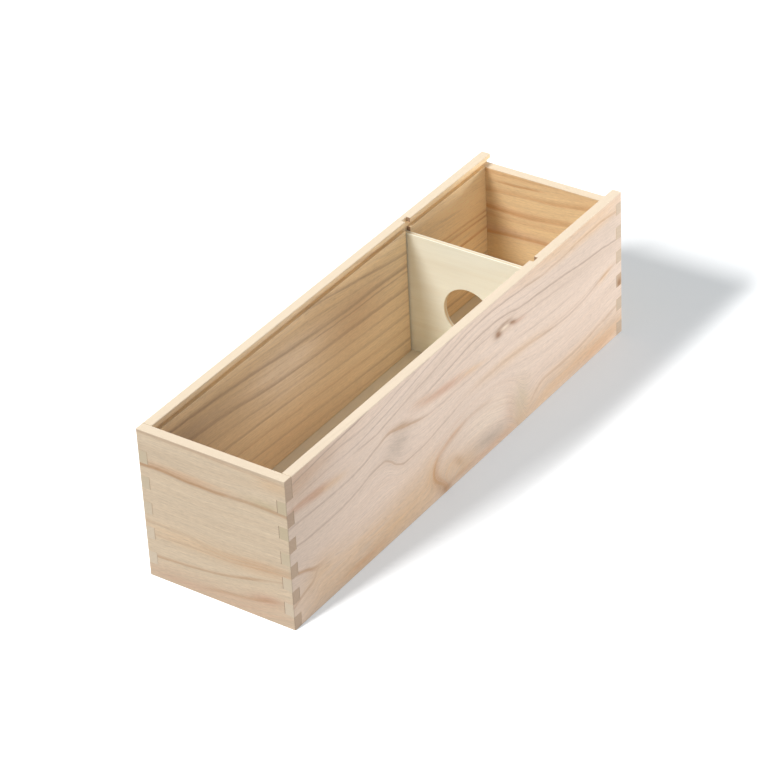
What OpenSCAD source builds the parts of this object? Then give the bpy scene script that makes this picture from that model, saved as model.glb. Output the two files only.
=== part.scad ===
// Long wine box of finger-jointed solid timber, with grooves for a sliding lid and a removable
// divider with a neck hole. Millimetres. X is the width, +Y points from the closed near end to
// the end where the lid slides in, and Z is up from the underside.

/* [Box] */
// Outside length, end to end
box_l = 350; // [300:1:420]
// Outside width
box_w = 100; // [94:1:130]
// Outside height
box_h = 100; // [95:1:130]
// Thickness of the four walls
wall_t = 6.3; // [5.5:0.1:9]

/* [Finger joints] */
// Wood left above the bottom panel's groove in the end walls' lowest fingers
foot_cover = 1; // [0.5:0.1:5]
// Height of each side wall finger
finger_h = 8.4; // [5:0.1:12]
// Distance from one side wall finger to the next
finger_pitch = 17.1; // [15:0.1:24]
// Least height left under the lid groove for the end wall's top finger
top_finger_min_h = 5; // [4:0.5:12]

/* [Lid groove] */
// Height of the lip above the groove
lip_h = 3; // [2:0.1:5]
// Height of the groove
lid_groove_h = 3.4; // [2.5:0.1:5]
// Depth of the groove in each wall
lid_groove_d = 2.5; // [1.5:0.1:3.5]

/* [Bottom panel] */
// Thickness of the bottom panel
panel_t = 3; // [2:0.1:5]
// Height of the panel's underside above the foot of the walls
panel_z = 5; // [4:0.1:8]
// Depth of the panel's groove in each wall
panel_groove_d = 2.5; // [1.5:0.1:3.5]
// Free height above the panel in its groove
panel_play = 0.2; // [0.1:0.05:0.4]
// Free width beside the panel at the bottom of its groove
panel_gap = 0.4; // [0.2:0.1:1]

/* [Divider] */
// Thickness of the divider
divider_t = 3; // [2:0.1:4]
// Length of the bay between the near end wall and the divider
bottle_bay_l = 250.2; // [200:0.1:270]
// Free height between the divider and the underside of a closed lid
divider_headroom = 2.2; // [0.5:0.1:10]
// Free thickness beside the divider in its upright slot
slot_play = 2; // [0.3:0.1:3]
// Depth of the slot in each side wall
slot_d = 2.5; // [1.5:0.1:3.5]
// Free width beside the divider at the bottom of its slot
slot_gap = 0.4; // [0.2:0.1:1]
// Diameter of the neck hole
neck_hole_d = 35; // [30:0.5:45]
// Height of the neck hole's centre above the floor
neck_hole_h = 38.5; // [30:0.5:50]
// Sideways place of the neck hole's centre
neck_hole_x = -1.5; // [-5:0.5:5]

/* [Hidden] */
$fn = 96;

// How far a cutter reaches past the face that it breaks through
over = 1;

// Inner faces of the walls
inner_x = box_w / 2 - wall_t;
inner_y = box_l / 2 - wall_t;

// Levels, from the foot of the walls up
floor_z = panel_z + panel_t;
lid_floor_z = box_h - lip_h - lid_groove_h;
divider_top_z = lid_floor_z - divider_headroom;

// The end wall's lowest finger covers the blind end of the bottom panel's groove
foot_finger_h = floor_z + panel_play + foot_cover;

// Side wall fingers: as many as fit above the foot finger with an end wall finger left on top
finger_room = lid_floor_z - top_finger_min_h - finger_h - foot_finger_h;
finger_n = floor(finger_room / finger_pitch) + 1;
finger_z = [for (i = [0 : finger_n - 1]) foot_finger_h + i * finger_pitch];
gap_h = finger_pitch - finger_h;
top_finger_z = finger_z[finger_n - 1] + finger_h;

// The divider stands in the middle of its slot
slot_y = -inner_y + bottle_bay_l + divider_t / 2;
slot_w = divider_t + slot_play;

// Colours: pale resinless timber, and the greener, plainer ply
timber_end = [0.82, 0.74, 0.61];
timber_far = [0.86, 0.72, 0.52];
timber_side = [0.86, 0.79, 0.71];
ply = [0.92, 0.88, 0.77];

// A block from its lowest corner to its highest
module block(low, high) {
  translate(low)
    cube(high - low);
}

// The fingers of both side walls at one end of the box, less a reach past each outer face.
// They are what is cut out of that end's wall.
module side_fingers(end_y) {
  for (side = [-1, 1], z = finger_z)
    translate([side * (inner_x + wall_t / 2 + over / 2), end_y * (inner_y + wall_t / 2), z + finger_h / 2])
      cube([wall_t + over, wall_t + 2 * over, finger_h], center = true);
}

// The fingers of an end wall at the right-hand corner, up to the level top_z, with a reach past
// the end of the box. They are what is cut out of the side wall.
module end_fingers(end_y, top_z) {
  low_y = end_y > 0 ? inner_y : -inner_y - wall_t - over;
  high_y = low_y + wall_t + over;
  low_x = inner_x - over;
  high_x = box_w / 2 + over;
  block([low_x, low_y, -over], [high_x, high_y, foot_finger_h]);
  for (i = [1 : 1 : finger_n - 1])
    block([low_x, low_y, finger_z[i] - gap_h], [high_x, high_y, finger_z[i]]);
  block([low_x, low_y, top_finger_z], [high_x, high_y, top_z]);
}

// Right-hand side wall: grooves ploughed from end to end, an upright slot cut through the lip,
// and fingers at both ends
module side_wall() {
  difference() {
    block([inner_x, -box_l / 2, 0], [box_w / 2, box_l / 2, box_h]);
    end_fingers(-1, box_h + over);
    end_fingers(1, lid_floor_z);
    // groove for the lid, open at the far end
    block(
      [inner_x - over, -box_l / 2 - over, lid_floor_z],
      [inner_x + lid_groove_d, box_l / 2 + over, lid_floor_z + lid_groove_h]
    );
    // groove for the bottom panel
    block(
      [inner_x - over, -box_l / 2 - over, panel_z],
      [inner_x + panel_groove_d, box_l / 2 + over, floor_z + panel_play]
    );
    // slot for the divider
    block(
      [inner_x - over, slot_y - slot_w / 2, -over],
      [inner_x + slot_d, slot_y + slot_w / 2, box_h + over]
    );
  }
}

// End wall between the side walls' fingers, up to the level top_z, with a blind groove for the
// bottom panel
module end_wall(end_y, top_z) {
  reach_x = inner_x + panel_groove_d;
  difference() {
    translate([-box_w / 2, end_y > 0 ? inner_y : -box_l / 2, 0])
      cube([box_w, wall_t, top_z]);
    side_fingers(end_y);
    translate([0, end_y * (inner_y + (panel_groove_d - over) / 2), (panel_z + floor_z + panel_play) / 2])
      cube([2 * reach_x, panel_groove_d + over, panel_t + panel_play], center = true);
  }
}

// Full-height wall at the closed end, with a blind groove that holds the lid's leading edge down
module near_end_wall() {
  color(timber_end)
    difference() {
      end_wall(-1, box_h);
      block(
        [-inner_x - lid_groove_d, -inner_y - lid_groove_d, lid_floor_z],
        [inner_x + lid_groove_d, -inner_y + over, lid_floor_z + lid_groove_h]
      );
    }
}

// Lower wall at the open end: its top is level with the floor of the lid groove
module far_end_wall() {
  color(timber_far)
    end_wall(1, lid_floor_z);
}

module right_side_wall() {
  color(timber_side)
    side_wall();
}

module left_side_wall() {
  color(timber_side)
    mirror([1, 0, 0])
      side_wall();
}

// Thin panel that floats in the walls' groove and rests on its lower side
module bottom_panel() {
  half_w = inner_x + panel_groove_d - panel_gap;
  half_l = inner_y + panel_groove_d - panel_gap;
  color(ply)
    block([-half_w, -half_l, panel_z], [half_w, half_l, floor_z]);
}

// Loose board that stands on the bottom panel in the two slots, with a round neck hole
module divider() {
  half_w = inner_x + slot_d - slot_gap;
  color(ply)
    difference() {
      block(
        [-half_w, slot_y - divider_t / 2, floor_z],
        [half_w, slot_y + divider_t / 2, divider_top_z]
      );
      translate([neck_hole_x, slot_y, floor_z + neck_hole_h])
        rotate([90, 0, 0])
          cylinder(d = neck_hole_d, h = divider_t + 2 * over, center = true);
    }
}

near_end_wall();
far_end_wall();
left_side_wall();
right_side_wall();
bottom_panel();
divider();
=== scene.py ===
"""Wooden wine box: the CAD boards get eased edges and a timber or ply finish, on a pale floor."""

import math

import bmesh
import bpy
from bpy.props import FloatProperty, FloatVectorProperty, PointerProperty
from mathutils import Matrix, Vector


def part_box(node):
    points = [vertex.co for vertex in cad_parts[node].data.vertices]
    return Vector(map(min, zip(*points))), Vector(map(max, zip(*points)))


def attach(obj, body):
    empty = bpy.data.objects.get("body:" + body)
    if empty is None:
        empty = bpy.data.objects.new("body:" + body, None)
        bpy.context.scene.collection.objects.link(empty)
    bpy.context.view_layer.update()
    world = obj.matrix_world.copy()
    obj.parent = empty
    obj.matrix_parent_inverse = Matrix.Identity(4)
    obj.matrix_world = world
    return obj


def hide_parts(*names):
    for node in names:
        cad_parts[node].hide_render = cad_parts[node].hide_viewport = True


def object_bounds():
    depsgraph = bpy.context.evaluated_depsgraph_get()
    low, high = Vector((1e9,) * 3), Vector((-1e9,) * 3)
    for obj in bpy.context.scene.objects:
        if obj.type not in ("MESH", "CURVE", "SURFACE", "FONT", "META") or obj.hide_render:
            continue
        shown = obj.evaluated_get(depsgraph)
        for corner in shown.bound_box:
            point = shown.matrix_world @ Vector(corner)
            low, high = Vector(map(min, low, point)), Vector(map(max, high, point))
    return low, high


bl_info = {
    "name": "Wooden wine box",
    "version": (1, 0, 0),
    "blender": (4, 5, 0),
    "location": "3D View > Sidebar > Wine box",
    "description": "Dresses the boards of a finger-jointed wine box and lights it on a pale floor",
    "category": "Object",
}

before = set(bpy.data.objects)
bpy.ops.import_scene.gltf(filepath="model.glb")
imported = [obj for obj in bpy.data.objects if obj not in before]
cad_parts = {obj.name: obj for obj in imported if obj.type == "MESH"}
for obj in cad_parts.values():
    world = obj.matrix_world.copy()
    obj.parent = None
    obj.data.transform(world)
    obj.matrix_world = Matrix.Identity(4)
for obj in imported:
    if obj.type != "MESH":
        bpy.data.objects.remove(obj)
CAD_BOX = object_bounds()

MM = 0.001
X, Y, Z = 0, 1, 2

# Distance under which two corners of the CAD's loose triangles are the same point, and the angle
# under which two of its faces are one plane
WELD = 0.002 * MM
FLAT = math.radians(0.5)
# Angle from which an edge counts as an arris
ARRIS = math.radians(30)
# How near a face lies to a plane of the box to be taken as part of it
NEAR = 0.05 * MM
# How squarely a face has to stand across the grain to show end grain, of 1
ACROSS_GRAIN = 0.7
# e to the power of minus a half, the base of a bell curve in standard deviations
BELL_BASE = math.exp(-0.5)

# The distant lamps: the way to each from the box, and how many degrees wide it looks
KEY_LAMP = ((-0.33, -0.61, 1.0), 20)
REAR_LAMP = ((-0.8, 0.9, 0.6), 40)
LONG_SHADOW_LAMP = ((-0.56, -2.7, 1.0), 10)
SHORT_SHADOW_LAMP = ((-0.53, -1.03, 1.0), 12)
# The near lamp: the way to it, and its distance and width in metres
FILL_LAMP = ((0.7, 0.52, 0.1), 0.878, 0.2)
# How far off the distant lamps are drawn, and half the width of the floor, in metres
LAMP_DISTANCE = 2.0
FLOOR_HALF = 4.0
WHITE = (1.0, 1.0, 1.0, 1.0)

# Streaks in the timber and the ply: length and width in mm, a shift that sets each apart, and how
# fine they break up
WIDE = (190, 7, 3.1, 3.0)
BROAD = (120, 16, 7.7, 2.0)
BAND = (90, 3.5, 2.9, 2.0)
MEDIUM = (40, 1.2, 5.3, 2.0)
FINE = (14, 0.5, 9.1, 2.0)
SHORT = (3.5, 0.8, 6.2, 3.0)
PORES = (7, 0.25, 1.7, 0.0)
PLY_WIDE = (150, 9, 2.3, 3.0)
PLY_MEDIUM = (40, 1.6, 4.1, 2.0)
PLY_FINE = (9, 0.3, 8.4, 2.0)
# The faint wide streaks of the timber and of the ply: how much the streaks widen the colour's
# range, where its middle lies, and how strongly the timber's show
WIDE_RANGE = (1.8, 0.3)
WIDE_SHOWN = 0.22
PLY_WIDE_RANGE = (0.9, 0.1)
# How much lighter and darker the others make the timber and the ply
MEDIUM_TONE = 0.2
BAND_TONE = 0.16
BROAD_TONE = 0.12
SHORT_TONE = 0.3
FINE_TONE = 0.3
PORE_TONE = -0.1
PLY_MEDIUM_TONE = 0.05
PLY_FINE_TONE = 0.1
# How strong a streak has to be to show as a pore, at its edge and in its middle
PORE_EDGES = (0.14, 0.3)
# How deep a pore is against the relief of the fibres
PORE_DEPTH = -0.6
# How much streaks break up the stains and painted light and shade, and vary a ring line along its length
STAIN_AND_PAINTED_LIGHT_BREAKUP = 1.4
LINE_BREAKUP = 1.3
# Waves that move the ring lines, with how far they move them, in mm
WAVES = (((60, 25, 0.0, 2.0), 1.6), ((12, 4, 0.0, 2.0), 0.8))
# How much the rings rise or fall through the board
RING_SLOPE = 0.9
# How deep the stains and the painted light and shade reach from the face that they are drawn on, in mm:
# from where they fade to where they have faded, and what share of them is left beyond
STAIN_AND_PAINTED_LIGHT_DEPTH = (2.0, 5.5)
STAIN_AND_PAINTED_LIGHT_BEYOND = 0.4
# How far below the top the sanded rim starts and ends, in mm, and how well it covers the grain
RIM_START = 0.7
RIM_END = 0.2
RIM_COVER = 0.88
# How far the walls of a slot are darkened from the slot's middle, in mm, and how dark
SLOT_DARK_REACH = (4.0, 6.0)
SLOT_DARKNESS = 0.75
# End grain: rings to the millimetre, where the noise of the rings turns dark, how dark it is
# elsewhere as a share of that, the pores across and along the grain to the millimetre, how much
# they shade it and which level of them leaves it as it is, and how much rougher it is than a face
END_RINGS = 0.8
END_RING_EDGES = (0.35, 0.7)
END_RING_LEAST = 0.4
END_PORES = (3.5, 0.4)
END_PORE_TONE = 0.3
END_PORE_LEVEL = 0.6
END_ROUGHER = 0.15
# Half the width of the ply's glue line in mm, and how strongly the core shows
GLUE = 0.08
CORE_SHOWN = 0.75
# Relief of the fibres and pores, and the sheen of bare wood
TIMBER_RELIEF = 0.05 * MM
PLY_RELIEF = 0.04 * MM
SHEEN = 0.3


def paint(red, green, blue):
    """A display colour, 0 to 255 a channel, as the linear colour that shaders take."""
    shares = (value / 255 for value in (red, green, blue))
    return tuple(s / 12.92 if s <= 0.04045 else ((s + 0.055) / 1.055) ** 2.4 for s in shares)


def size(name, description, default, low=0.0, high=0.01):
    """A length in metres."""
    return FloatProperty(
        name=name, description=description, default=default, min=low, max=high,
        unit="LENGTH", subtype="DISTANCE", precision=5,
    )


def colour(name, description, default):
    """A display colour, 0 to 255 a channel."""
    return FloatVectorProperty(
        name=name, description=description, default=paint(*default), min=0, max=1, size=3,
        subtype="COLOR",
    )


def share(name, description, default, high=1.0):
    """A share or a strength, from 0 up."""
    return FloatProperty(
        name=name, description=description, default=default, min=0, max=high, subtype="FACTOR",
    )


def angle(name, description, degrees):
    """An angle, given in degrees."""
    return FloatProperty(
        name=name, description=description, default=math.radians(degrees), subtype="ANGLE",
    )


class WineBoxJoinery(bpy.types.PropertyGroup):
    """How the arrises of the boards are finished"""

    easing: size("Easing", "Radius of the sanded outer arrises and rims", 0.45 * MM)
    groove_easing: size(
        "Groove easing", "Radius of the arrises of grooves, slots and the neck hole", 0.18 * MM
    )
    seam_easing: size(
        "Seam easing", "Radius of the finger joints' arrises, which shows as the glue line", 0.12 * MM
    )


class WineBoxTimber(bpy.types.PropertyGroup):
    """Colours and strengths of the solid timber"""

    right: colour("Right side wall", "Ground colour of the right side wall", (236, 215, 198))
    left: colour("Left side wall", "Ground colour of the left side wall", (236, 213, 178))
    near: colour("Near end wall", "Ground colour of the near end wall", (224, 204, 177))
    far: colour("Far end wall", "Ground colour of the far end wall", (247, 217, 170))
    rim: colour("Rims", "Colour of the sanded rims", (231, 214, 189))
    side_ends: colour("Side wall ends", "End grain of the side walls' fingers", (232, 215, 191))
    near_ends: colour("Near wall ends", "End grain of the near end wall's fingers", (200, 176, 152))
    far_ends: colour("Far wall ends", "End grain of the far end wall's fingers", (217, 197, 174))
    fibre: share("Fibre", "Strength of the fine light and dark fibres", 1.0, 3.0)
    roughness: share("Roughness", "Roughness of the sanded timber", 0.62)


class WineBoxPly(bpy.types.PropertyGroup):
    """Colours and layers of the thin ply"""

    divider: colour("Divider", "Ground colour of the divider's faces", (248, 248, 231))
    panel: colour("Bottom panel", "Ground colour of the bottom panel's faces", (236, 226, 203))
    streak: colour("Streaks", "Colour of the ply's faint streaks", (231, 221, 194))
    core: colour("Core veneer", "Colour of the core that shows at the ply's edges", (222, 198, 158))
    veneer: size("Face veneer thickness", "Thickness of the outer layers", 0.7 * MM)
    roughness: share("Roughness", "Roughness of the ply", 0.6)


class WineBoxStage(bpy.types.PropertyGroup):
    """Camera, lamps and floor"""

    azimuth: angle("Azimuth", "Turn of the camera round the box", 35.760)
    elevation: angle("Elevation", "Height of the camera above the horizon", 33.7123)
    roll: angle("Roll", "Roll of the camera about its line of sight", 3.0182)
    distance: size(
        "Distance", "Distance of the camera from the box's origin along the view", 1.91576, 0.1, 10
    )
    aside: size("Aside", "How far the box stands to the right of the line of sight", 0.00815, -1, 1)
    below: size("Below", "How far the box's origin stands below the line of sight", 0.03707, -1, 1)
    lens: FloatProperty(
        name="Lens", description="Focal length", default=151.88, min=10, max=500, unit="CAMERA",
    )
    sky: share("Sky", "Strength of the even light from all sides", 0.38, 2.0)
    key: share("Key", "Strength of the soft lamp overhead", 2.52, 10.0)
    fill: share("Fill", "Power of the soft lamp on the right", 4.35, 100.0)
    rear: share("Rear", "Strength of the soft lamp behind on the left", 0.8, 10.0)
    long_shadow: share(
        "Long shadow", "Strength of the low lamp in front, which lights only the floor", 8.1, 20.0
    )
    short_shadow: share(
        "Short shadow", "Strength of the lamp on the left, which lights only the floor", 4.7, 20.0
    )
    floor_bounce: share("Floor bounce", "Share of its light that the floor sends to the box", 0.24)
    floor_bright: share("Floor brightness", "Share of its light that the floor sends to the eye", 0.6)
    floor_glow: share("Floor glow", "Light of the floor's own, which only the eye sees", 0.375, 2.0)
    floor_tint: FloatVectorProperty(
        name="Floor tint", description="Cool tint of the glow, against the warm light from the box",
        default=(0.88, 0.95, 1.0), min=0, max=1, size=3, subtype="COLOR",
    )


class WineBoxSettings(bpy.types.PropertyGroup):
    """All the settings of the wine box"""

    joinery: PointerProperty(type=WineBoxJoinery)
    timber: PointerProperty(type=WineBoxTimber)
    ply: PointerProperty(type=WineBoxPly)
    stage: PointerProperty(type=WineBoxStage)


class Pattern:
    """The node tree of a material or a world, with a short call for each kind of node that it is
    built from."""

    def __init__(self, owner):
        self.owner = owner
        owner.use_nodes = True
        self.tree = owner.node_tree
        self.tree.nodes.clear()

    def node(self, kind, inputs=(), **settings):
        """A new node, with its inputs linked or set by their names or numbers."""
        made = self.tree.nodes.new(kind)
        for key, value in settings.items():
            setattr(made, key, value)
        for key, value in dict(inputs).items():
            if isinstance(value, bpy.types.NodeSocket):
                self.tree.links.new(value, made.inputs[key])
            else:
                made.inputs[key].default_value = value
        return made

    def math(self, operation, *values, clamp=False):
        settings = {"operation": operation, "use_clamp": clamp}
        return self.node("ShaderNodeMath", enumerate(values), **settings).outputs[0]

    def vector(self, x=0.0, y=0.0, z=0.0):
        return self.node("ShaderNodeCombineXYZ", {"X": x, "Y": y, "Z": z}).outputs[0]

    def point(self):
        """The object's own coordinates in millimetres, as three numbers."""
        own = self.node("ShaderNodeTexCoord").outputs["Object"]
        mm = self.node("ShaderNodeVectorMath", {0: own, "Scale": 1 / MM}, operation="SCALE").outputs[0]
        return list(self.node("ShaderNodeSeparateXYZ", {0: mm}).outputs)

    def step(self, value, low, high, start=0.0, end=1.0):
        """From start to end as the value goes from low to high, smoothly."""
        inputs = {"Value": value, "From Min": low, "From Max": high, "To Min": start, "To Max": end}
        return self.node("ShaderNodeMapRange", inputs, interpolation_type="SMOOTHSTEP").outputs[0]

    def noise(self, vector, detail=2.0, roughness=0.5):
        inputs = {"Vector": vector, "Scale": 1.0, "Detail": detail, "Roughness": roughness}
        return self.node("ShaderNodeTexNoise", inputs).outputs[0]

    def streaks(self, board, length, width, shift=0.0, detail=2.0):
        """Noise drawn out along the grain, centred on 0: streaks of about that length and width."""
        along, flow, through = board
        spot = self.vector(
            self.math("MULTIPLY_ADD", along, 1 / length, shift),
            self.math("MULTIPLY", flow, 1 / width),
            self.math("MULTIPLY", through, 1 / width),
        )
        return self.math("SUBTRACT", self.noise(spot, detail), 0.5)

    def bell(self, along, across, place, spread, lean=0.0):
        """1 at place, falling off over spread both ways. A lean follows a streak that runs uphill."""
        if lean:
            across = self.math("MULTIPLY_ADD", along, -lean, across)
            place = (place[0], place[1] - lean * place[0])
        scale = (1 / spread[0], 1 / spread[1], 0)
        inputs = {
            "Vector": self.vector(along, across),
            "Location": (-place[0] * scale[0], -place[1] * scale[1], 0),
            "Scale": scale,
        }
        away = self.node("ShaderNodeMapping", inputs).outputs[0]
        square = self.node("ShaderNodeVectorMath", {0: away, 1: away}, operation="DOT_PRODUCT")
        return self.math("POWER", BELL_BASE, square.outputs["Value"])

    def curve(self, value, points):
        """A smooth curve drawn through points, both numbers of each between 0 and 1."""
        made = self.node("ShaderNodeFloatCurve", {"Value": value})
        made.mapping.extend = "HORIZONTAL"
        drawn = made.mapping.curves[0].points
        drawn[0].location = points[0]
        drawn[1].location = points[-1]
        for place, height in points[1:-1]:
            drawn.new(place, height)
        for point in drawn:
            point.handle_type = "AUTO_CLAMPED"
        made.mapping.update()
        return made.outputs[0]

    def mix(self, factor, first, second):
        inputs = {0: factor, 6: first, 7: second}
        return self.node("ShaderNodeMix", inputs, data_type="RGBA").outputs[2]

    def shade(self, tint, tone):
        """The tint made lighter or darker by a tone round 0."""
        level = self.math("ADD", tone, 1.0)
        return self.node("ShaderNodeVectorMath", {0: tint, "Scale": level}, operation="SCALE").outputs[0]

    def wood_surface(self, tint, height, depth, roughness):
        """Ends the tree in a matt surface with a fine relief of the given depth."""
        relief = {"Height": height, "Distance": depth, "Strength": 1.0}
        inputs = {
            "Base Color": tint, "Roughness": roughness, "Specular IOR Level": SHEEN,
            "Normal": self.node("ShaderNodeBump", relief).outputs[0],
        }
        surface = self.node("ShaderNodeBsdfPrincipled", inputs).outputs[0]
        self.node("ShaderNodeOutputMaterial", {"Surface": surface})
        return self.owner

    def straight_rays(self):
        """1 for what the camera sees, straight or through a mirror or glass, and 0 for dull light."""
        path = self.node("ShaderNodeLightPath").outputs
        mirrored = self.math("MAXIMUM", path["Is Glossy Ray"], path["Is Transmission Ray"])
        return self.math("MAXIMUM", path["Is Camera Ray"], mirrored)


def opaque(tint):
    """The colour as four numbers, with nothing seen through it."""
    return (*tint, 1.0)


# Each board's grain, in millimetres along the grain and up the board.
# rings: growth rings from the foot up, each by the points (along, up) that it runs through.
# lines: (ring, width below, width above, from, to, stain, strength) are dark lines on a ring, or
# between two rings where its number is broken.
# tints: (along, up, spread along, spread up, lean, stain, strength) are stains and knots,
# and painted light and shade where so marked.
# roots: (along, up, spread along, spread up, shift) bend the rings along the board.
RIGHT_BOARD = {
    "rings": [
        [
            (-175, -15), (-48, -14), (-38, 6), (-35, 20), (-31, 27), (-22, 32), (-10, 35), (5, 37),
            (20, 36), (36, 32), (47, 27), (54, 18), (58, 4), (64, -14), (175, -15),
        ],
        [
            (-175, 15), (-163, 19), (-155, 22), (-149, 27), (-120, 25), (-60, 26), (-40, 31), (-22, 38),
            (0, 42), (20, 42), (40, 37), (52, 29), (60, 14), (66, 9), (75, 14), (85, 17), (115, 16),
            (145, 19), (175, 23),
        ],
        [
            (-175, 38), (-162, 33), (-149, 28), (-120, 28), (-60, 31), (-40, 36), (-20, 42), (10, 45),
            (40, 42), (60, 35), (75, 31), (110, 30), (175, 35),
        ],
        [
            (-175, 54), (-150, 52), (-130, 52), (-110, 54), (-95, 57.5), (-85, 58), (-78, 54.5), (-72, 49),
            (-62, 45), (-50, 45), (-25, 48), (0, 52), (30, 53.5), (60, 51.5), (90, 47.5), (110, 46),
            (130, 47), (150, 51), (175, 54),
        ],
        [
            (-175, 68), (-145, 66.5), (-125, 66), (-108, 67), (-90, 71), (-78, 73.5), (-70, 71.5),
            (-60, 68.5), (-48, 65), (-35, 63), (0, 62.5), (40, 62), (60, 61), (80, 59), (115, 57.5),
            (150, 60), (175, 62),
        ],
        [
            (-175, 74), (-120, 73), (-95, 75.5), (-75, 78), (-42, 78), (-25, 80), (-10, 82.5), (8, 85),
            (25, 85.5), (42, 84.5), (60, 81), (80, 79.5), (105, 77), (125, 74), (150, 71.5), (175, 68.5),
        ],
        [
            (-175, 82), (-140, 81.5), (-110, 80), (-92, 79.5), (-80, 81), (-60, 84.5), (-40, 87),
            (-15, 91.5), (5, 94), (20, 94.5), (45, 93), (70, 91), (95, 89.5), (130, 90), (175, 88.5),
        ],
        [
            (-175, 83.5), (-130, 84.5), (-115, 84), (-85, 87), (-70, 89), (-55, 91.5), (-40, 94.5),
            (-20, 98), (20, 103), (175, 106),
        ],
        [(-175, 91), (-130, 92), (-105, 91.5), (-88, 92.5), (-62, 96.5), (-45, 98.5), (0, 105), (175, 110)],
        [(-175, 93.5), (-155, 95.5), (-135, 97), (-110, 98.5), (-60, 104), (175, 116)],
    ],
    "roots": [(-28, 2, 13, 7, -17)],
    "lines": [
        (9, 0.9, 1.2, -200, -100, "line", 0.5),
        (8, 0.7, 1.4, -140, -30, "line", 0.3),
        (7, 0.7, 1.4, -160, 0, "line", 0.32),
        (6, 0.8, 1.5, -108, 80, "line", 0.42),
        (6, 0.9, 1.8, 70, 190, "tan_line", 0.45),
        (5.5, 0.6, 1.2, -30, 120, "line", 0.14),
        (5, 0.8, 1.5, -42, 185, "line", 0.45),
        (4.73, 0.7, 1.2, -10, 27, "line", 0.3),
        (4.65, 0.8, 1.5, 56, 115, "line", 0.26),
        (4, 0.8, 1.5, -200, -85, "line", 0.4),
        (4, 0.9, 2.0, -85, -45, "brown", 0.5),
        (4, 0.8, 1.4, -50, 40, "line", 0.22),
        (4, 0.7, 1.3, 52, 122, "line", 0.24),
        (3, 0.8, 1.6, -200, -84, "line", 0.4),
        (3, 1.0, 1.3, -86, -60, "tan_line", 0.5),
        (3, 0.8, 1.5, -64, -8, "line", 0.34),
        (3, 1.5, 2.6, 10, 95, "tan_line", 0.3),
        (3, 0.9, 1.6, 84, 150, "line", 0.22),
        (3, 1.0, 2.0, 145, 165, "brown", 0.4),
        (3.2, 0.7, 1.3, 70, 150, "line", 0.14),
        (2, 2.4, 2.0, -200, -150, "brown", 0.7),
        (1, 1.6, 2.4, -200, -152, "tan_line", 0.55),
        (1, 1.4, 2.4, 70, 185, "tan_line", 0.34),
        (0, 7.5, 6.5, -60, -27, "umber", 0.68),
        (0, 4.4, 4.6, -32, -6, "umber", 0.52),
        (0, 2.2, 2.8, -14, 24, "tan_line", 0.3),
        (-0.2, 1.0, 1.4, 26, 50, "tan_line", 0.16),
        (-0.6, 1.0, 1.4, 20, 50, "tan_line", 0.12),
    ],
    "tints": [
        (22, 25, 18, 7, 0.0, "pale", 0.3),
        (-102, 9, 42, 11, 0.0, "tan", 0.8),
        (-146, 14, 18, 12, 0.0, "tan", 0.5),
        (-54, 14, 18, 13, 0.0, "tan", 0.5),
        (-148, 23, 8, 6, 0.0, "tan", 0.6),
        (-106, 5, 13, 2.5, 0.0, "rust", 0.45),
        (-38, 20, 5, 9, 0.0, "tan", 0.5),
        (-28, 8, 6, 5, -0.8, "brown", 0.6),
        (-20, 16, 7, 6, 0.0, "tan", 0.4),
        (-23, 3, 3, 1.5, 0.0, "knot_and_shade", 0.5),
        (-9, 4.5, 8, 1.3, 0.0, "brown", 0.5),
        (-9, 13, 3.5, 2.5, -0.6, "brown", 0.55),
        (-3, 9, 11, 5, 0.0, "tan", 0.6),
        (24, 10, 13, 3.8, -0.16, "grey", 0.55),
        (25, 3, 26, 2.2, 0.0, "rust", 0.5),
        (58, 15, 6, 11, 0.0, "olive", 0.4),
        (46, 16, 4, 10, 0.0, "rose", 0.2),
        (128, 9, 45, 6, 0.02, "tan", 0.75),
        (76, 4, 16, 3, 0.0, "tan", 0.4),
        (140, 6, 27, 5, 0.0, "rust", 0.42),
        (-41, 74.5, 8, 2.0, -0.25, "rust", 0.4),
        (-22, 71, 17, 2.2, -0.13, "rose", 0.65),
        (6, 67.8, 9, 1.6, -0.15, "tan", 0.5),
        (-65, 71, 7, 1.8, -0.28, "brown", 0.5),
        (-148, 76, 9, 2.0, -0.08, "rose", 1.2),
        (-164, 77.5, 9, 1.7, 0.0, "rose", 0.9),
        (-132, 73.5, 9, 1.8, -0.1, "tan", 0.6),
        (-70, 61.5, 9, 6.5, 0.0, "grey", 0.5),
        # Painted shade: the wall darker towards its near end, and in its upper near corner
        (-178, 48, 38, 60, 0.0, "grey", 0.36),
        (-168, 93, 26, 9, 0.0, "brown", 0.48),
        (150, 82, 62, 17, 0.0, "grey", 0.32),
        (43, 75.8, 6.5, 1.9, -0.08, "brown", 0.32),
        (35.6, 75.4, 2.8, 1.8, -0.15, "knot_and_shade", 0.85),
        (41.5, 79.0, 5.5, 0.9, 0.0, "knot_and_shade", 0.66),
        (51, 75.4, 3.6, 1.2, -0.4, "knot_and_shade", 0.75),
        (43, 76.3, 3.2, 0.9, 0.0, "pale", 0.5),
        (58, 73.2, 5, 0.9, -0.12, "rose", 0.5),
        (120, 97, 36, 2.6, 0.0, "tan", 0.85),
        (138, 90.5, 28, 2.2, 0.0, "tan", 0.65),
        (50, 52.5, 24, 2.4, -0.06, "tan", 0.45),
        (155, 51.5, 5, 1.6, 0.3, "tan", 0.5),
    ],
}
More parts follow.
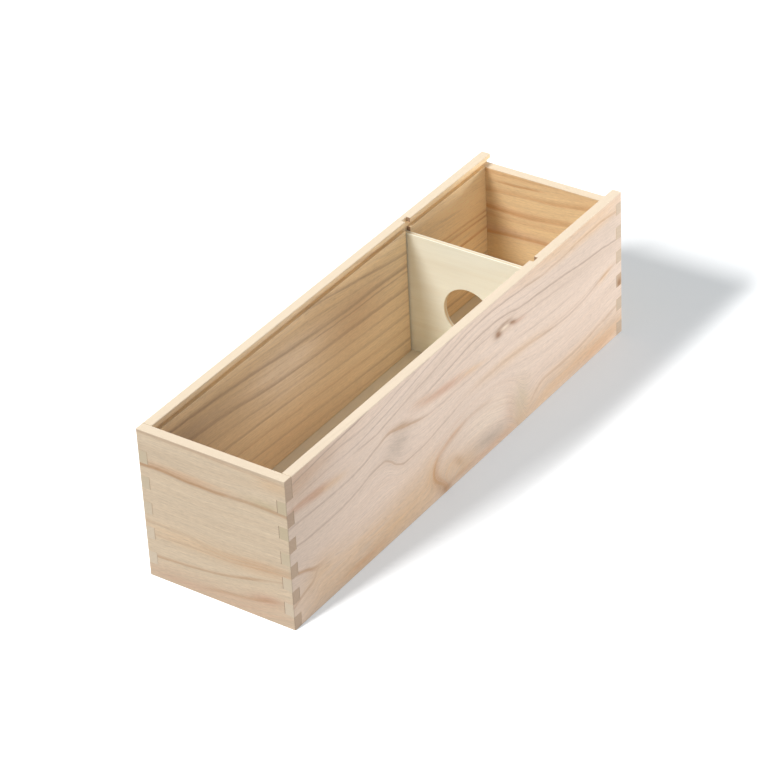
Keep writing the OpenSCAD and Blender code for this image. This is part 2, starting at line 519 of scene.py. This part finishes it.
LEFT_BOARD = {
    "rings": [
        [(-175, 8), (0, 4), (175, -4)],
        [(-175, 30), (-60, 24), (60, 18), (175, 14)],
        [(-175, 50), (-60, 44), (60, 36), (175, 32)],
        [(-175, 74), (-136, 71), (-100, 68.5), (-68, 64), (-34, 60.5), (12, 57.5), (80, 54), (175, 50)],
        [
            (-175, 88), (-150, 86), (-113, 84), (-79, 81), (-34, 76), (12, 72.5), (57, 70.5), (79, 69),
            (130, 65), (175, 62),
        ],
        [(-175, 99), (-80, 95.5), (-11, 92.5), (23, 87), (57, 81.5), (79, 78.5), (130, 72), (175, 68)],
        [(-175, 106), (0, 101), (60, 94), (100, 88), (175, 80)],
    ],
    "roots": [],
    "lines": [
        (6, 1.2, 3.0, 20, 80, "tan_line", 0.3),
        (5, 1.2, 3.0, -25, 90, "line", 0.42),
        (4.55, 0.7, 1.3, -130, 60, "line", 0.2),
        (4, 1.3, 3.4, -200, 90, "line", 0.5),
        (4, 1.0, 2.0, 84, 200, "umber", 0.5),
        (3.75, 0.7, 1.4, -20, 90, "line", 0.35),
        (3.7, 1.0, 2.0, 84, 200, "umber", 0.6),
        (3, 1.3, 3.4, -200, 90, "line", 0.42),
        (3, 1.2, 2.5, 84, 200, "umber", 0.6),
        (2.5, 0.8, 2.0, -200, 200, "line", 0.22),
        (2, 0.9, 2.2, -200, 200, "line", 0.34),
        (1.5, 0.8, 2.0, -200, 200, "tan_line", 0.3),
        (1, 0.9, 2.2, -200, 200, "line", 0.34),
        (0.5, 0.8, 2.0, -200, 200, "tan_line", 0.3),
    ],
    "tints": [
        # Painted light: the far part of the wall lighter
        (150, 70, 36, 50, 0.0, "painted_light", 1.2),
        # Painted shade: the near end of the wall darker
        (-165, 60, 26, 60, 0.0, "knot_and_shade", 0.35),
        # Painted light: a lighter patch on the inner face
        (-45, 74, 26, 20, -0.1, "pale", 1.0),
        (24, 66, 20, 14, 0.0, "brown", 0.3),
        (-10, 88, 12, 8, 0.0, "brown", 0.2),
        (-60, 20, 60, 12, 0.0, "tan", 0.3),
        # Painted shadow of the near end wall on the inner face
        (-150, 78, 30, 5, -0.05, "grey", 0.5),
        # Painted light: a lighter band below the rim, along the whole wall
        (0, 91, 200, 8, 0.0, "painted_light", 0.6),
    ],
}
NEAR_BOARD = {
    "rings": [
        [(-50, -4), (-20, 3.5), (0, 7.5), (12, 9), (25, 11.5), (35, 14), (50, 17)],
        [(-50, 15), (-30, 16), (-12, 17.6), (2, 19.8), (14, 22.4), (26, 25.4), (50, 31)],
        [(-50, 30), (-20, 31), (10, 31.5), (30, 34), (50, 36)],
        [(-50, 38), (-25, 38), (0, 35.5), (20, 37), (50, 38.5)],
        [(-50, 56), (0, 56), (50, 58)],
        [(-50, 76.4), (-40, 77), (-28, 76.4), (-14, 75.5), (0, 75.5), (14, 76.4), (28, 77), (50, 76.2)],
        [(-50, 81.5), (-38, 81.5), (-15, 79.5), (0, 79.5), (20, 81), (50, 83)],
        [(-50, 98.5), (0, 98), (20, 97), (50, 96)],
    ],
    "roots": [],
    "lines": [
        (7, 1.0, 3.0, -80, 80, "tan_line", 0.3),
        (5.5, 0.6, 1.3, -46, -8, "tan_line", 0.4),
        (5, 1.8, 2.4, -80, 14, "brown", 0.9),
        (5, 1.8, 2.4, 4, 80, "brown", 0.62),
        (4, 0.8, 1.4, -80, 80, "line", 0.08),
        (3, 1.2, 2.4, -80, 80, "tan_line", 0.28),
        (2.5, 1.2, 2.2, -12, 60, "tan_line", 0.32),
        (2, 0.9, 2.0, -80, 80, "tan_line", 0.28),
        (1, 1.0, 2.2, -80, 28, "brown", 0.62),
        (1.12, 0.7, 1.2, 12, 60, "tan_line", 0.3),
        (0, 1.8, 3.0, -8, 38, "brown", 0.45),
    ],
    "tints": [
        (-25, 78.6, 24, 2.0, 0.0, "rust", 0.5),
        (35, 79, 8, 2.2, 0.0, "olive", 0.5),
        (-12, 34.5, 32, 3.6, 0.0, "tan", 0.4),
        (30, 35.5, 15, 3.0, 0.08, "rust", 0.4),
        (0, 4, 45, 5, 0.0, "rose", 0.4),
        (32, 14, 9, 2.8, 0.12, "rose", 0.7),
        (-32, 4, 14, 2.2, 0.0, "rose", 0.35),
        (42, 94, 8, 2.5, 0.0, "tan", 0.5),
        (0, 99.6, 60, 1.0, 0.0, "line", 0.3),
    ],
}
FAR_BOARD = {
    "rings": [
        [(-50, 8), (0, 12), (50, 10)],
        [(-50, 28), (0, 30), (50, 27)],
        [(-50, 47), (-10, 50), (20, 50.5), (50, 53)],
        [(-50, 60), (-15, 60.5), (20, 63), (50, 66)],
        [(-50, 66), (-20, 65.5), (15, 69), (50, 74)],
        [(-50, 77), (-20, 79.5), (10, 81.5), (50, 88)],
        [(-50, 85), (-20, 86), (10, 88.5), (50, 93)],
        [(-50, 97), (0, 98), (50, 99)],
    ],
    "roots": [],
    "lines": [
        (6.5, 2.0, 3.0, -80, 80, "umber", 0.3),
        (6, 0.8, 2.0, -36, -6, "umber", 0.9),
        (5, 2.0, 4.5, -80, 80, "umber", 0.5),
        (4, 2.0, 4.5, -80, 80, "umber", 0.6),
        (3, 2.0, 3.0, -80, 80, "umber", 0.25),
        (2, 1.4, 3.0, -80, 80, "umber", 0.7),
        (1, 1.6, 3.5, -80, 80, "umber", 0.5),
        (0, 1.6, 3.5, -80, 80, "umber", 0.5),
    ],
    "tints": [
        (0, 91, 60, 4, 0.0, "umber", 0.15),
        # Painted shade: darker where the left wall meets the far wall
        (-46, 58, 9, 20, 0.0, "knot_and_shade", 0.4),
        (0, 51, 60, 2.5, 0.0, "rose", 0.4),
        (-20, 66, 24, 3, 0.0, "tan", 0.4),
    ],
}
# Each end grain, in millimetres through and up the board.
# pith: where the rings have their middle. depth: how dark the rings are.
# tints: (through, up, spread through, spread up, stain, strength) are stains.
SIDE_ENDS = {
    "pith": (20, -60),
    "depth": 0.12,
    "tints": [(47, 72, 8, 28, "olive", 0.6), (-47, 78, 8, 24, "olive", 0.4)],
}
NEAR_ENDS = {
    "pith": (-190, 40),
    "depth": 0.25,
    "tints": [(-172, 78, 8, 14, "line", 0.25)],
}
FAR_ENDS = {
    "pith": (190, 140),
    "depth": 0.15,
    "tints": [
        (172, 37, 1.5, 2.2, "knot_and_shade", 1.0),
        (172, 39, 6, 5, "brown", 0.4),
        (172, 0, 8, 8, "brown", 0.25),
    ],
}
# Colours of the stains, lines and knots, and of the painted light and shade on the boards
STAINS_AND_PAINTED_LIGHT = {
    "line": paint(156, 128, 111),
    "tan_line": paint(190, 154, 120),
    "brown": paint(186, 146, 110),
    "tan": paint(227, 192, 153),
    "rust": paint(216, 170, 130),
    "rose": paint(206, 164, 138),
    "grey": paint(184, 166, 150),
    "knot_and_shade": paint(150, 112, 84),
    "umber": paint(204, 152, 104),
    "olive": paint(198, 182, 146),
    "painted_light": paint(253, 226, 182),
    "pale": paint(250, 234, 212),
}
# The stains of the ring lines, the last on top
LINE_STAINS = ("line", "tan_line", "brown", "umber")


def ring_heights(pattern, board, along):
    """The height of each ring at the place along the board. The curves run from 0 to 1, so the
    rings are lowered into that span to be drawn, and raised again."""
    span = 200
    lift = 40
    low, high = (board["rings"][0][end][0] for end in (0, -1))
    place = pattern.node("ShaderNodeMapRange", {"Value": along, "From Min": low, "From Max": high})
    heights = []
    for ring in board["rings"]:
        points = [((at - low) / (high - low), (height + lift) / span) for at, height in ring]
        drawn = pattern.curve(place.outputs[0], points)
        heights.append(pattern.math("MULTIPLY_ADD", drawn, span, -lift))
    return heights


def ring_levels(board):
    """One number for each ring: its middle height. The grain's field has that value on the ring."""
    return [sum(height for _, height in ring) / len(ring) for ring in board["rings"]]


def level_at(levels, ring):
    """The field's value on a ring, or between two rings for a broken number."""
    low = min(max(int(ring), 0), len(levels) - 2)
    return levels[low] + (ring - low) * (levels[low + 1] - levels[low])


def ring_field(pattern, heights, levels, across):
    """The grain as one field, which rises evenly from each ring to the next."""
    below = pattern.math("MINIMUM", pattern.math("SUBTRACT", across, heights[0]), 0.0)
    above = pattern.math("MAXIMUM", pattern.math("SUBTRACT", across, heights[-1]), 0.0)
    field = pattern.math("ADD", pattern.math("ADD", below, levels[0]), above)
    for i in range(len(levels) - 1):
        inputs = {
            "Value": across, "From Min": heights[i], "From Max": heights[i + 1],
            "To Min": 0.0, "To Max": levels[i + 1] - levels[i],
        }
        field = pattern.math("ADD", field, pattern.node("ShaderNodeMapRange", inputs).outputs[0])
    return field


def grain_field(pattern, board, along, across):
    """The field and, for even lines, the distance in mm that a rise of 1 in it takes."""
    place = along
    for at, up, spread_along, spread_up, shift in board["roots"]:
        bend = pattern.bell(along, across, (at, up), (spread_along, spread_up))
        place = pattern.math("MULTIPLY_ADD", bend, shift, place)
    levels = ring_levels(board)
    heights = ring_heights(pattern, board, place)
    beyond = ring_heights(pattern, board, pattern.math("ADD", place, 1.0))
    field = ring_field(pattern, heights, levels, across)
    further = ring_field(pattern, beyond, levels, across)
    higher = ring_field(pattern, heights, levels, pattern.math("ADD", across, 1.0))
    rises = [pattern.math("SUBTRACT", other, field) for other in (further, higher)]
    square = pattern.math("MULTIPLY", rises[1], rises[1])
    square = pattern.math("MULTIPLY_ADD", rises[0], rises[0], square)
    least = 0.1
    slope = pattern.math("MAXIMUM", pattern.math("SQRT", square), least)
    return field, pattern.math("DIVIDE", 1.0, slope)


def ring_line(pattern, field, spacing, along, level, widths, ends, strength):
    """How dark one ring line is: sharp below and soft above, and faded out past its ends."""
    fade = 10
    away = pattern.math("MULTIPLY", pattern.math("SUBTRACT", field, level), spacing)
    line = pattern.step(away, -widths[0], 0.0)
    for step in (
        pattern.step(away, 0.0, widths[1], strength, 0.0),
        pattern.step(along, ends[0] - fade, ends[0] + fade),
        pattern.step(along, ends[1] - fade, ends[1] + fade, 1.0, 0.0),
    ):
        line = pattern.math("MULTIPLY", line, step)
    return line


def add_stains_and_painted_light(pattern, board, along, across, tint, streak):
    """The tint with the board's stains, knots and painted light and shade on it, broken up by the streak.
    """
    for place_along, place_up, spread_along, spread_up, lean, stain, strength in board["tints"]:
        spot = pattern.bell(along, across, (place_along, place_up), (spread_along, spread_up), lean)
        spot = pattern.math("MULTIPLY", spot, strength)
        amount = pattern.math("MULTIPLY", spot, streak, clamp=True)
        tint = pattern.mix(amount, tint, opaque(STAINS_AND_PAINTED_LIGHT[stain]))
    return tint


def add_lines(pattern, board, along, field, spacing, tint, vary):
    """The tint with the board's ring lines on it, which vary along the grain."""
    levels = ring_levels(board)
    for stain in LINE_STAINS:
        dark = 0.0
        for ring, below, above, start, end, which, strength in board["lines"]:
            if which == stain:
                level = level_at(levels, ring)
                line = ring_line(
                    pattern, field, spacing, along, level, (below, above), (start, end), strength
                )
                dark = pattern.math("MAXIMUM", dark, line)
        amount = pattern.math("MULTIPLY", dark, vary, clamp=True)
        tint = pattern.mix(amount, tint, opaque(STAINS_AND_PAINTED_LIGHT[stain]))
    return tint


def timber(name, ground, board, axes, outer, top):
    """Sanded softwood with the board's own rings, stains and fibres. axes names the axes along the
    grain, up the board and through it, outer is the face that the rings are drawn on and top is the
    height of the board's rim, in mm."""
    look = bpy.context.scene.wine_box.timber
    pattern = Pattern(bpy.data.materials.new(name))
    point = pattern.point()
    along, across, through = (point[axis] for axis in axes)
    deep = pattern.math("SUBTRACT", through, outer)
    risen = pattern.math("MULTIPLY_ADD", deep, math.copysign(RING_SLOPE, outer), across)
    field, spacing = grain_field(pattern, board, along, risen)
    grain = (along, field, deep)
    flat = (along, across, deep)
    for wave, reach in WAVES:
        field = pattern.math("MULTIPLY_ADD", pattern.streaks(flat, *wave), reach, field)

    wide = pattern.streaks(grain, *WIDE)
    broad = pattern.streaks(grain, *BROAD)
    band = pattern.streaks(grain, *BAND)
    medium = pattern.streaks(grain, *MEDIUM)
    fine = pattern.streaks(grain, *FINE)
    short = pattern.streaks(flat, *SHORT)
    pores = pattern.step(pattern.streaks(grain, *PORES), *PORE_EDGES)

    faint = pattern.math("MULTIPLY_ADD", wide, *WIDE_RANGE, clamp=True)
    faint = pattern.math("MULTIPLY", faint, WIDE_SHOWN)
    tint = pattern.mix(faint, opaque(ground), opaque(STAINS_AND_PAINTED_LIGHT["tan_line"]))
    streak = pattern.math("MULTIPLY_ADD", pattern.math("ADD", medium, band), STAIN_AND_PAINTED_LIGHT_BREAKUP, 1.0)
    shown = pattern.step(pattern.math("ABSOLUTE", deep), *STAIN_AND_PAINTED_LIGHT_DEPTH, 1.0, STAIN_AND_PAINTED_LIGHT_BEYOND)
    streak = pattern.math("MULTIPLY", streak, shown)
    tint = add_stains_and_painted_light(pattern, board, along, across, tint, streak)
    vary = pattern.math("MULTIPLY_ADD", pattern.math("ADD", broad, band), LINE_BREAKUP, 1.0)
    tint = add_lines(pattern, board, along, field, spacing, tint, vary)

    tone = pattern.math("MULTIPLY", medium, MEDIUM_TONE * look.fibre)
    tone = pattern.math("MULTIPLY_ADD", band, BAND_TONE * look.fibre, tone)
    tone = pattern.math("MULTIPLY", tone, pattern.math("MINIMUM", spacing, 1.0))
    tone = pattern.math("MULTIPLY_ADD", short, SHORT_TONE * look.fibre, tone)
    tone = pattern.math("MULTIPLY_ADD", fine, FINE_TONE * look.fibre, tone)
    tone = pattern.math("MULTIPLY_ADD", broad, BROAD_TONE * look.fibre, tone)
    tone = pattern.math("MULTIPLY_ADD", pores, PORE_TONE * look.fibre, tone)
    tint = pattern.shade(tint, tone)
    rim = pattern.step(across, top - RIM_START, top - RIM_END, 0.0, RIM_COVER)
    tint = pattern.mix(rim, tint, opaque(look.rim))
    height = pattern.math("MULTIPLY_ADD", pores, PORE_DEPTH, fine)
    return pattern.wood_surface(tint, height, TIMBER_RELIEF, look.roughness)


def end_grain(name, ground, ends, axes, slot=None):
    """The sawn and sanded ends of the fibres: arcs of rings round the pith, and fine dark pores.
    slot is a place along the board, in mm, about which the walls of a slot are darkened."""
    look = bpy.context.scene.wine_box.timber
    pattern = Pattern(bpy.data.materials.new(name))
    point = pattern.point()
    along, across, through = (point[axis] for axis in axes)
    from_pith = pattern.vector(
        pattern.math("SUBTRACT", through, ends["pith"][0]),
        pattern.math("SUBTRACT", across, ends["pith"][1]),
    )
    radius = pattern.node("ShaderNodeVectorMath", {0: from_pith}, operation="LENGTH")
    radius = pattern.math("MULTIPLY", radius.outputs["Value"], END_RINGS)
    rings = pattern.noise(pattern.vector(radius))
    place = pattern.vector(
        pattern.math("MULTIPLY", through, END_PORES[0]),
        pattern.math("MULTIPLY", across, END_PORES[0]),
        pattern.math("MULTIPLY", along, END_PORES[1]),
    )
    pores = pattern.noise(place, roughness=0.7)
    darkest = ends["depth"]
    late = pattern.step(rings, *END_RING_EDGES, END_RING_LEAST * darkest, darkest)
    tint = pattern.mix(late, opaque(ground), opaque(STAINS_AND_PAINTED_LIGHT["line"]))
    for place_through, place_up, spread_through, spread_up, stain, strength in ends["tints"]:
        spot = pattern.bell(
            through, across, (place_through, place_up), (spread_through, spread_up)
        )
        tint = pattern.mix(pattern.math("MULTIPLY", spot, strength), tint, opaque(STAINS_AND_PAINTED_LIGHT[stain]))
    if slot is not None:
        from_slot = pattern.math("ABSOLUTE", pattern.math("SUBTRACT", along, slot))
        slot_dark = pattern.step(from_slot, *SLOT_DARK_REACH, SLOT_DARKNESS, 0.0)
        tint = pattern.mix(slot_dark, tint, opaque(STAINS_AND_PAINTED_LIGHT["knot_and_shade"]))
    tone = pattern.math("MULTIPLY_ADD", pores, END_PORE_TONE, -END_PORE_LEVEL * END_PORE_TONE)
    roughness = min(1.0, look.roughness + END_ROUGHER)
    return pattern.wood_surface(pattern.shade(tint, tone), pores, TIMBER_RELIEF, roughness)


def ply(name, ground, axes, low, high):
    """Three-layer ply. Its face veneers are plain and pale, and its edges show the core. axes names
    the axes along the grain of the faces, across it and through the layers, and low and high are
    the places of both faces on the last one, in mm."""
    look = bpy.context.scene.wine_box.ply
    pattern = Pattern(bpy.data.materials.new(name))
    point = pattern.point()
    board = [point[axis] for axis in axes]
    wide = pattern.streaks(board, *PLY_WIDE)
    medium = pattern.streaks(board, *PLY_MEDIUM)
    fine = pattern.streaks(board, *PLY_FINE)
    faint = pattern.math("MULTIPLY_ADD", wide, *PLY_WIDE_RANGE, clamp=True)
    tint = pattern.mix(faint, opaque(ground), opaque(look.streak))
    layer = pattern.math("ABSOLUTE", pattern.math("SUBTRACT", board[2], (low + high) / 2))
    core_half = (high - low) / 2 - look.veneer / MM
    core = pattern.step(layer, core_half - GLUE, core_half + GLUE, CORE_SHOWN, 0.0)
    tint = pattern.mix(core, tint, opaque(look.core))
    tone = pattern.math("MULTIPLY", medium, PLY_MEDIUM_TONE)
    tone = pattern.math("MULTIPLY_ADD", fine, PLY_FINE_TONE, tone)
    return pattern.wood_surface(pattern.shade(tint, tone), fine, PLY_RELIEF, look.roughness)


def is_joint_face(face, inner):
    """Whether a face lies inside a finger joint, and not on the outside of the box. inner is the
    highest corner of the space inside the walls."""
    centre = face.calc_center_median()
    corner = abs(centre.x) > inner.x - NEAR and abs(centre.y) > inner.y - NEAR
    outside = (
        abs(centre.x) > CAD_BOX[1].x - NEAR
        or abs(centre.y) > CAD_BOX[1].y - NEAR
        or centre.z < CAD_BOX[0].z + NEAR
        or centre.z > CAD_BOX[1].z - NEAR
    )
    return corner and not outside


def arris_radius(edge, inner, joinery):
    """The radius that an arris is eased by."""
    if len(edge.link_faces) != 2 or edge.calc_face_angle_signed(0) < ARRIS:
        return 0.0
    in_joint = [is_joint_face(face, inner) for face in edge.link_faces]
    if all(in_joint):
        return 0.0
    if any(in_joint):
        return joinery.seam_easing
    points = [v.co for v in edge.verts]
    low, high = CAD_BOX
    on_outline = any(
        all(abs(point[axis] - bound[axis]) < NEAR for point in points)
        for axis in (X, Y, Z)
        for bound in (low, high)
    )
    return joinery.easing if on_outline else joinery.groove_easing


def make_board(node, body, materials, grain_axis=None):
    """A copy of the CAD board with eased arrises, which rides on its body in the node's place. The
    first material is for its faces, and the second for its end grain and the divider's slot, where
    it has a grain_axis."""
    joinery = bpy.context.scene.wine_box.joinery
    wall = CAD_BOX[1].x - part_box("right_side_wall")[0].x
    inner = CAD_BOX[1] - Vector((wall, wall, 0))
    bm = bmesh.new()
    bm.from_mesh(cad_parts[node].data)
    bmesh.ops.remove_doubles(bm, verts=bm.verts, dist=WELD)
    bmesh.ops.dissolve_limit(bm, angle_limit=FLAT, verts=bm.verts, edges=bm.edges, delimit=set())
    weight = bm.edges.layers.float.new("bevel_weight_edge")
    for edge in bm.edges:
        edge[weight] = arris_radius(edge, inner, joinery) / joinery.easing
    if grain_axis is not None:
        low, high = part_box("divider")
        for face in bm.faces:
            off_slot = abs(face.calc_center_median().y - (low.y + high.y) / 2)
            if abs(face.normal[grain_axis]) > ACROSS_GRAIN or off_slot < high.y - low.y:
                face.material_index = 1
    mesh = bpy.data.meshes.new(f"{node}_board")
    bm.to_mesh(mesh)
    bm.free()
    piece = bpy.data.objects.new(f"{node}_board", mesh)
    bpy.context.scene.collection.objects.link(piece)
    for material in materials:
        mesh.materials.append(material)
    bevel = piece.modifiers.new("eased_arrises", "BEVEL")
    bevel.limit_method = "WEIGHT"
    bevel.width = joinery.easing
    bevel.segments = 3
    bevel.profile = 0.5
    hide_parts(node)
    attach(piece, body)


class WINEBOX_OT_side_walls(bpy.types.Operator):
    """Makes the two long side walls"""

    bl_idname = "winebox.side_walls"
    bl_label = "Side walls"

    def execute(self, context):
        look = context.scene.wine_box.timber
        axes = (Y, Z, X)
        low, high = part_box("right_side_wall")
        outer, inner, top = high.x / MM, -low.x / MM, high.z / MM
        right = timber("right_side_timber", look.right, RIGHT_BOARD, axes, outer, top)
        left = timber("left_side_timber", look.left, LEFT_BOARD, axes, inner, top)
        low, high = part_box("divider")
        slot = (low.y + high.y) / 2 / MM
        ends = end_grain("side_end_grain", look.side_ends, SIDE_ENDS, axes, slot)
        make_board("right_side_wall", "box", [right, ends], Y)
        make_board("left_side_wall", "box", [left, ends], Y)
        return {"FINISHED"}


class WINEBOX_OT_end_walls(bpy.types.Operator):
    """Makes the two end walls"""

    bl_idname = "winebox.end_walls"
    bl_label = "End walls"

    def execute(self, context):
        look = context.scene.wine_box.timber
        axes = (X, Z, Y)
        low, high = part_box("near_end_wall")
        near = timber("near_end_timber", look.near, NEAR_BOARD, axes, low.y / MM, high.z / MM)
        near_ends = end_grain("near_wall_end_grain", look.near_ends, NEAR_ENDS, axes)
        make_board("near_end_wall", "box", [near, near_ends], X)
        low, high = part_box("far_end_wall")
        far = timber("far_end_timber", look.far, FAR_BOARD, axes, low.y / MM, high.z / MM)
        far_ends = end_grain("far_wall_end_grain", look.far_ends, FAR_ENDS, axes)
        make_board("far_end_wall", "box", [far, far_ends], X)
        return {"FINISHED"}


class WINEBOX_OT_bottom_panel(bpy.types.Operator):
    """Makes the bottom panel of thin ply"""

    bl_idname = "winebox.bottom_panel"
    bl_label = "Bottom panel"

    def execute(self, context):
        low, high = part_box("bottom_panel")
        ground = context.scene.wine_box.ply.panel
        panel = ply("bottom_ply", ground, (Y, X, Z), low.z / MM, high.z / MM)
        make_board("bottom_panel", "box", [panel])
        return {"FINISHED"}


class WINEBOX_OT_divider(bpy.types.Operator):
    """Makes the loose divider with the neck hole"""

    bl_idname = "winebox.divider"
    bl_label = "Divider"

    def execute(self, context):
        low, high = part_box("divider")
        ground = context.scene.wine_box.ply.divider
        board = ply("divider_ply", ground, (X, Z, Y), low.y / MM, high.y / MM)
        make_board("divider", "divider", [board])
        return {"FINISHED"}


def camera_turn(stage):
    """The camera's axes as columns: its right, its up and its back."""
    level = math.cos(stage.elevation)
    back = Vector((
        math.sin(stage.azimuth) * level, -math.cos(stage.azimuth) * level, math.sin(stage.elevation),
    ))
    right = Vector((0, 0, 1)).cross(back).normalized()
    up = back.cross(right)
    across = right * math.cos(stage.roll) - up * math.sin(stage.roll)
    upright = right * math.sin(stage.roll) + up * math.cos(stage.roll)
    return Matrix((across, upright, back)).transposed()


def add_lamp(name, data, towards, distance, receivers):
    """Stands a lamp in the direction given, turned to the box, for the receivers alone."""
    lamp = bpy.data.objects.new(name, data)
    place = Vector(towards).normalized()
    lamp.rotation_euler = place.to_track_quat("Z", "Y").to_euler()
    lamp.location = place * distance
    lamp.light_linking.receiver_collection = receivers
    bpy.context.scene.collection.objects.link(lamp)


def sun(name, towards, spread, strength, receivers):
    """A distant soft lamp, with its spread in degrees."""
    data = bpy.data.lights.new(name, "SUN")
    data.energy = strength
    data.angle = math.radians(spread)
    add_lamp(name, data, towards, LAMP_DISTANCE, receivers)


def softbox(name, towards, distance, width, power, receivers):
    """A square soft lamp that stands near the box."""
    data = bpy.data.lights.new(name, "AREA")
    data.shape = "SQUARE"
    data.energy = power
    data.size = width
    add_lamp(name, data, towards, distance, receivers)


def receivers_of(name, piece, state):
    """What a lamp lights: only the piece, or all but the piece."""
    group = bpy.data.collections.new(name)
    group.objects.link(piece)
    group.collection_objects[0].light_linking.link_state = state
    return group


class WINEBOX_OT_stage(bpy.types.Operator):
    """Makes the floor, the lamps, the world and the camera"""

    bl_idname = "winebox.stage"
    bl_label = "Stage"

    def execute(self, context):
        stage = context.scene.wine_box.stage
        floor = self.make_floor(context, stage)
        self.make_world(context, stage)
        floor_only = receivers_of("floor_only", floor, "INCLUDE")
        all_but_floor = receivers_of("all_but_floor", floor, "EXCLUDE")
        sun("key_lamp", *KEY_LAMP, stage.key, all_but_floor)
        sun("rear_lamp", *REAR_LAMP, stage.rear, all_but_floor)
        softbox("fill_lamp", *FILL_LAMP, stage.fill, all_but_floor)
        sun("long_shadow_lamp", *LONG_SHADOW_LAMP, stage.long_shadow, floor_only)
        sun("short_shadow_lamp", *SHORT_SHADOW_LAMP, stage.short_shadow, floor_only)
        data = bpy.data.cameras.new("camera")
        data.lens = stage.lens
        camera = bpy.data.objects.new("camera", data)
        turn = camera_turn(stage)
        place = turn @ Vector((-stage.aside, stage.below, stage.distance))
        camera.matrix_world = Matrix.Translation(place) @ turn.to_4x4()
        context.scene.collection.objects.link(camera)
        context.scene.camera = camera
        context.scene.view_settings.view_transform = "Standard"
        return {"FINISHED"}

    def make_floor(self, context, stage):
        """A wide pale floor. The eye sees it brighter than it lights the box from below."""
        bm = bmesh.new()
        bmesh.ops.create_grid(bm, x_segments=1, y_segments=1, size=FLOOR_HALF)
        mesh = bpy.data.meshes.new("floor")
        bm.to_mesh(mesh)
        bm.free()
        floor = bpy.data.objects.new("floor", mesh)
        context.scene.collection.objects.link(floor)
        pattern = Pattern(bpy.data.materials.new("floor_white"))
        dull, bright = (
            pattern.node("ShaderNodeBsdfDiffuse", {"Color": opaque([level] * 3)}).outputs[0]
            for level in (stage.floor_bounce, stage.floor_bright)
        )
        glow = {"Color": opaque(stage.floor_tint), "Strength": stage.floor_glow}
        glow = pattern.node("ShaderNodeEmission", glow).outputs[0]
        lit = pattern.node("ShaderNodeAddShader", {0: bright, 1: glow}).outputs[0]
        surface = {0: pattern.straight_rays(), 1: dull, 2: lit}
        surface = pattern.node("ShaderNodeMixShader", surface).outputs[0]
        pattern.node("ShaderNodeOutputMaterial", {"Surface": surface})
        mesh.materials.append(pattern.owner)
        return floor

    def make_world(self, context, stage):
        """Even light from all sides, and a white backdrop."""
        world = bpy.data.worlds.new("pale_room")
        context.scene.world = world
        pattern = Pattern(world)
        room, backdrop = (
            pattern.node("ShaderNodeBackground", {"Color": WHITE, "Strength": strength}).outputs[0]
            for strength in (stage.sky, 1.0)
        )
        seen = {0: pattern.straight_rays(), 1: room, 2: backdrop}
        surface = pattern.node("ShaderNodeMixShader", seen).outputs[0]
        pattern.node("ShaderNodeOutputWorld", {"Surface": surface})


STEPS = (
    WINEBOX_OT_stage,
    WINEBOX_OT_side_walls,
    WINEBOX_OT_end_walls,
    WINEBOX_OT_bottom_panel,
    WINEBOX_OT_divider,
)


class VIEW3D_PT_wine_box(bpy.types.Panel):
    """Lists the pieces and the settings of the wine box"""

    bl_label = "Wine box"
    bl_space_type = "VIEW_3D"
    bl_region_type = "UI"
    bl_category = "Wine box"

    def draw(self, context):
        for step in STEPS:
            self.layout.operator(step.bl_idname)
        settings = context.scene.wine_box
        for group in (settings.joinery, settings.timber, settings.ply, settings.stage):
            box = self.layout.box()
            for name in group.__annotations__:
                box.prop(group, name)


CLASSES = (
    WineBoxJoinery, WineBoxTimber, WineBoxPly, WineBoxStage, WineBoxSettings, *STEPS, VIEW3D_PT_wine_box,
)


def register():
    for made in CLASSES:
        bpy.utils.register_class(made)
    bpy.types.Scene.wine_box = PointerProperty(type=WineBoxSettings)


def unregister():
    del bpy.types.Scene.wine_box
    for made in reversed(CLASSES):
        bpy.utils.unregister_class(made)


def main():
    """Makes everything."""
    register()
    bpy.ops.winebox.stage()
    bpy.ops.winebox.side_walls()
    bpy.ops.winebox.end_walls()
    bpy.ops.winebox.bottom_panel()
    bpy.ops.winebox.divider()


if __name__ == "__main__":
    main()
